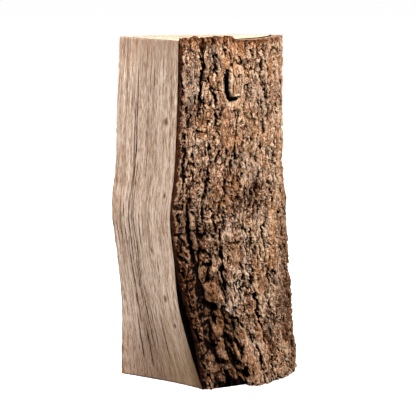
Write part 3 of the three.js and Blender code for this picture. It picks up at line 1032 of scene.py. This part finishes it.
def bark_finish():
    bark = Finish("bark_finish")
    cavity = bark.mark("cavity")
    damp = bark.mark("damp")
    layer = bark.mark("layer")
    speckle = bark.noise(1000, 3, 0.7, (1, 1, 0.7))
    flecks = bark.noise(420, 4, 0.7, (1, 1, 0.5))
    patch = bark.noise(55, 4, 0.6, (1, 1, 0.4))
    broken = bark.clamp(bark.noise(300, 3, 0.6), 0.40, 0.58)

    # The plates, then what weather has done to them, then painted shade in the dark patches.
    tone = bark.mark("tone") * 0.7 + patch * 0.75 + (speckle - 0.5) * 2.6 + (flecks - 0.5) * 1.9 - 0.33
    colour = bark.ramp(tone, [
        (0.22, tint(30, 11, 5)), (0.37, tint(80, 40, 23)), (0.49, tint(129, 76, 47)),
        (0.61, tint(170, 113, 76)), (0.73, tint(207, 154, 114)), (0.86, tint(242, 208, 178)),
    ])
    warm = bark.clamp(bark.noise(38, 3, 0.5, (1, 1, 0.5)), 0.48, 0.66)
    colour = bark.mix(warm * 0.65, colour, tint(194, 126, 74))
    ashen = bark.clamp(bark.noise(70, 4, 0.65, (1, 1, 0.35)), 0.54, 0.66)
    colour = bark.mix(ashen * 0.24, colour, tint(204, 182, 166))
    pale = bark.mark("pale") * bark.clamp(bark.noise(260, 4, 0.75, (1, 1, 0.6)), 0.42, 0.60)
    colour = bark.mix(pale * 0.8, colour, tint(232, 208, 190))
    colour = bark.mix(bark.mark("worn") * 0.5, colour, tint(208, 158, 114))
    glint = bark.clamp(speckle * 0.5 + flecks * 0.5, 0.51, 0.59)
    # The dark patches go near black: partly damp, partly painted shade.
    colour = bark.mix(damp * (0.97 - glint * 0.6), colour, tint(16, 7, 3))

    # Painted shade in every hollow, pit and furrow, painted highlight on every edge.
    colour = bark.mix(bark.clamp(cavity * -1, 0.05, 0.8) * 0.92, colour, tint(30, 13, 6))
    colour = bark.mix((1 - bark.clamp(flecks, 0.34, 0.42)) * 0.9, colour, tint(24, 11, 6))
    colour = bark.mix(bark.mark("hollow") * 0.95, colour, tint(26, 12, 6))
    cleft = bark.clamp(bark.mark("furrow") + broken * 0.3, 0.4, 1.1)
    colour = bark.mix(cleft * 0.95, colour, tint(10, 4, 2))
    # Painted highlight on raised edges, dimmer and orange-brown in the dark patches.
    edge = bark.clamp(cavity, 0.15, 1.0) * (0.4 + broken * 0.5) * (1 - damp * 0.6)
    colour = bark.mix(edge, colour, bark.mix(damp, tint(238, 204, 168), tint(158, 98, 60)))
    # Pale flecks: partly lichen, partly painted highlight.
    light_fleck = bark.clamp(flecks, 0.60, 0.68) * (0.6 - damp * 0.25)
    colour = bark.mix(light_fleck, colour, bark.mix(damp, tint(244, 226, 208), tint(196, 136, 94)))

    # Inner bark, the torn rim, the layers under the outermost and those laid bare by the saw.
    inner_tone = patch * 0.5 + speckle * 0.5
    inner_bark = bark.ramp(inner_tone, [(0.38, tint(24, 10, 5)), (0.64, tint(100, 53, 29))])
    # Inner bark in the dark patches gets the same painted shade.
    inner_bark = bark.mix(damp * 0.75, inner_bark, tint(14, 6, 4))
    colour = bark.mix(bark.mark("inner_bark"), colour, inner_bark)
    torn_fibre = bark.clamp(speckle * 0.5 + flecks * 0.5, 0.4, 0.62)
    torn = bark.mix(torn_fibre, tint(74, 34, 16), tint(188, 122, 76))
    colour = bark.mix(bark.mark("torn") * 0.75, colour, torn)
    inside = 1 - bark.clamp(layer, 0.55, 0.97)
    colour = bark.mix(inside, colour, inner_bark)
    # The inner half of the layers, facing the wood across the crevice, is painted near black: painted
    # shade.
    deep_inside = 1 - bark.clamp(layer, 0.0, 0.5)
    colour = bark.mix(deep_inside, colour, tint(24, 11, 6))
    bands = bark.clamp(bark.noise(240, 3, 0.6), 0.4, 0.6)
    layered = bark.mix(bands, tint(128, 84, 52), tint(196, 150, 106))
    colour = bark.mix(bark.mark("sawn"), colour, layered)
    return bark.finish(colour, 0.92, speckle * 0.8 + flecks, 0.004, 0.03)


# ---- Stage ---------------------------------------------------------------------------------------

def set_stage():
    """A pale floor that runs up into a pale wall far away. It takes no part in lighting the log."""
    turns = [2 * math.pi * side / STAGE_SIDES for side in range(STAGE_SIDES)]
    points = [(0, 0, 0)]
    for out, up in STAGE_PROFILE:
        points += [(out * math.cos(turn), out * math.sin(turn), up) for turn in turns]
    sides = [(side, (side + 1) % STAGE_SIDES) for side in range(STAGE_SIDES)]
    faces = [(0, 1 + here, 1 + after) for here, after in sides]
    for ring in range(len(STAGE_PROFILE) - 1):
        low, high = 1 + STAGE_SIDES * ring, 1 + STAGE_SIDES * (ring + 1)
        faces += [(low + here, high + here, high + after, low + after) for here, after in sides]
    mesh = bpy.data.meshes.new("floor")
    mesh.from_pydata(points, [], faces)
    mesh.shade_smooth()
    floor = add_object("floor", mesh)
    pale = Finish("pale_floor")
    surface = pale.node("ShaderNodeBsdfPrincipled", {}, {
        "Base Color": (0.5, 0.5, 0.5, 1), "Roughness": 1.0, "Specular IOR Level": 0.0,
        "Emission Color": (1, 1, 1, 1), "Emission Strength": STAGE_GLOW})
    pale.node("ShaderNodeOutputMaterial", {}, {"Surface": surface})
    floor.data.materials.append(pale.material)
    floor.visible_diffuse = False
    floor.visible_glossy = False
    floor.visible_shadow = False


def set_lights():
    """Three softboxes, all turned towards the log, and a faint glow from all round."""
    for name, place, size, power in SOFTBOXES:
        light = bpy.data.lights.new(name, "AREA")
        light.shape = "SQUARE"
        light.size = size
        light.energy = power
        lamp = add_object(name, light)
        lamp.location = place
        lamp.rotation_euler = (Vector(LIGHTS_AIM) - Vector(place)).to_track_quat("-Z", "Y").to_euler()
    world = bpy.data.worlds.new("studio")
    bpy.context.scene.world = world
    world.use_nodes = True
    world.node_tree.nodes["Background"].inputs["Color"].default_value = (1, 1, 1, 1)
    world.node_tree.nodes["Background"].inputs["Strength"].default_value = STUDIO_GLOW


def set_camera():
    """In front of the log's front corner, a little above it, with a long lens."""
    data = bpy.data.cameras.new("camera")
    data.sensor_width = SENSOR
    data.lens = LENS
    camera = add_object("camera", data)
    place = (front_foot[0] + CAMERA_SIDE, front_foot[1] - CAMERA_BACK, CAMERA_HEIGHT)
    camera.location = Vector(place) * MM
    camera.rotation_euler = (math.radians(90 - CAMERA_DIP), 0, 0)
    bpy.context.scene.camera = camera


set_camera()
build_wood(split_wood_finish())
build_bark(bark_finish())
set_stage()
set_lights()
bpy.context.scene.view_settings.view_transform = "Standard"
